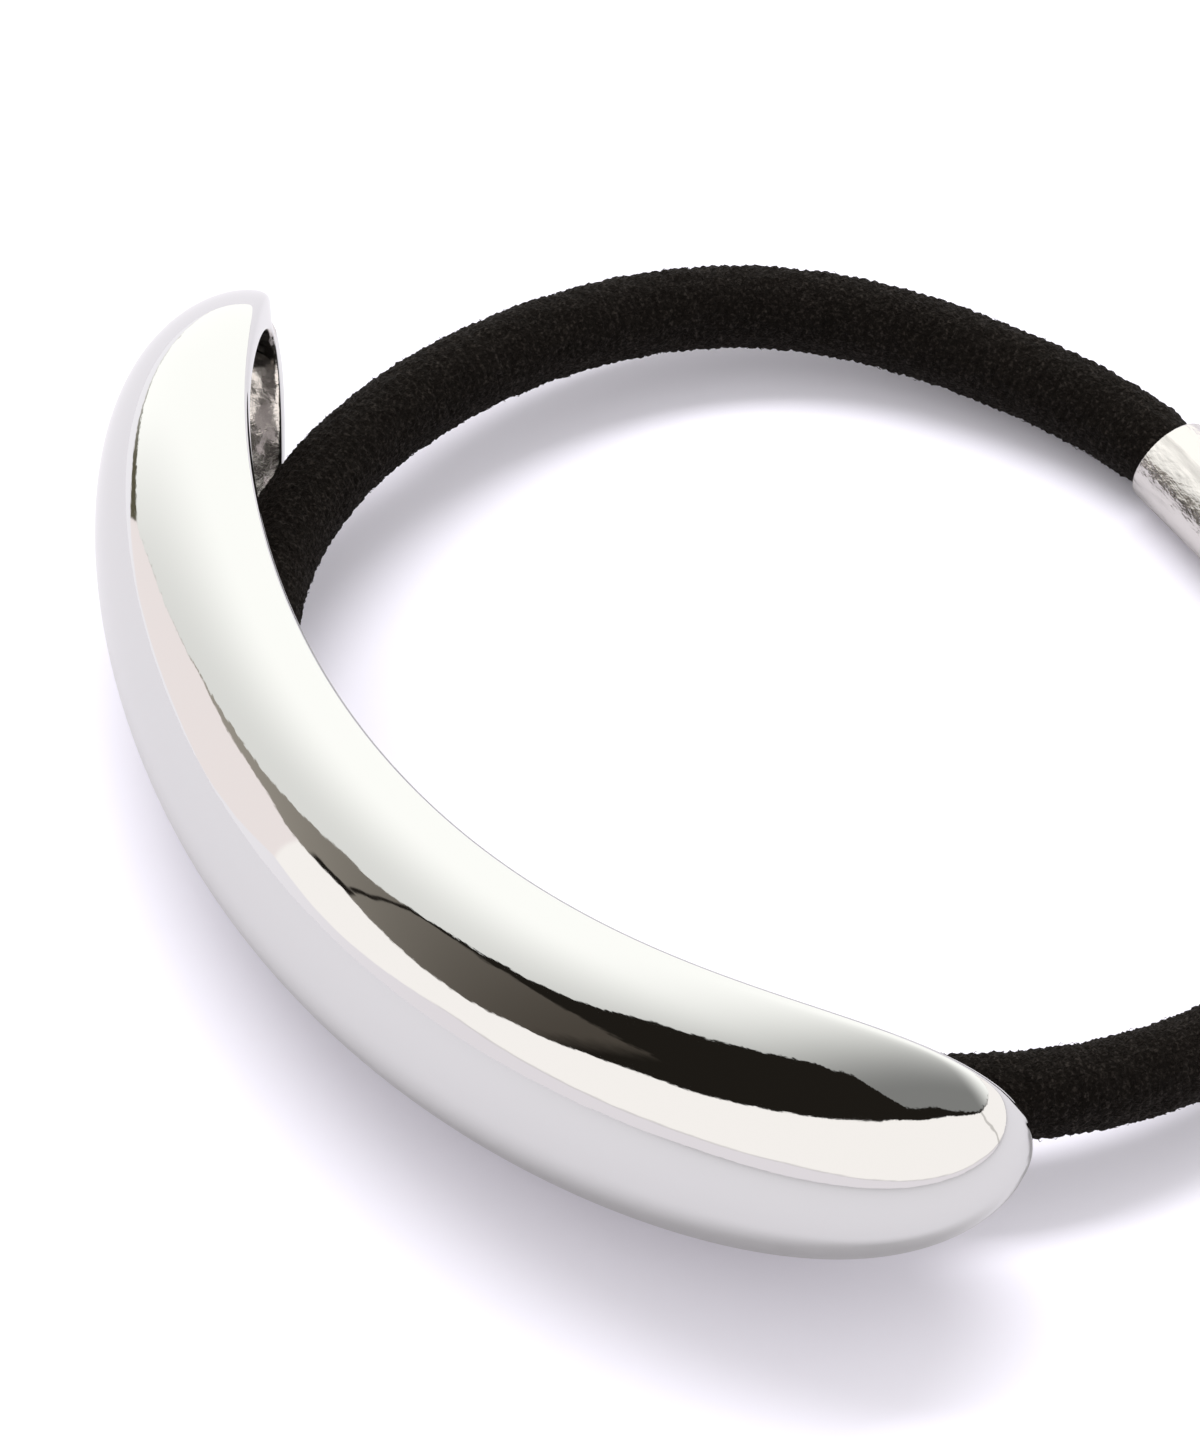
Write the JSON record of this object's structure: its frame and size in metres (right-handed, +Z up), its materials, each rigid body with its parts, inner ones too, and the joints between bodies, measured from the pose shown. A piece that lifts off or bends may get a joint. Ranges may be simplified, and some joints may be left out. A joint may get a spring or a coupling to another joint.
{
  "type": "hair tie",
  "caption": "Round knitted elastic loop held in the hollow back of a polished, tapered metal crescent and joined by a short metal tube.",
  "frame": {"origin": "middle of the bounding box in plan, on the surface that the hair tie lies on", "axes": "+X from the crescent's left tip to its right tip, +Y from the crescent across the loop to the joiner tube, +Z up"},
  "size_m": [0.07, 0.0634, 0.019],
  "materials": {
    "polished_metal": "mirror polished",
    "pin_metal": "satin",
    "knitted_elastic": "matt knitted tube",
    "satin_metal": "satin with worn streaks"
  },
  "bodies": {
    "root": {"crescent": "polished_metal", "left_pin": "pin_metal", "right_pin": "pin_metal", "elastic": "knitted_elastic", "joiner_tube": "satin_metal"}
  },
  "joints": []
}
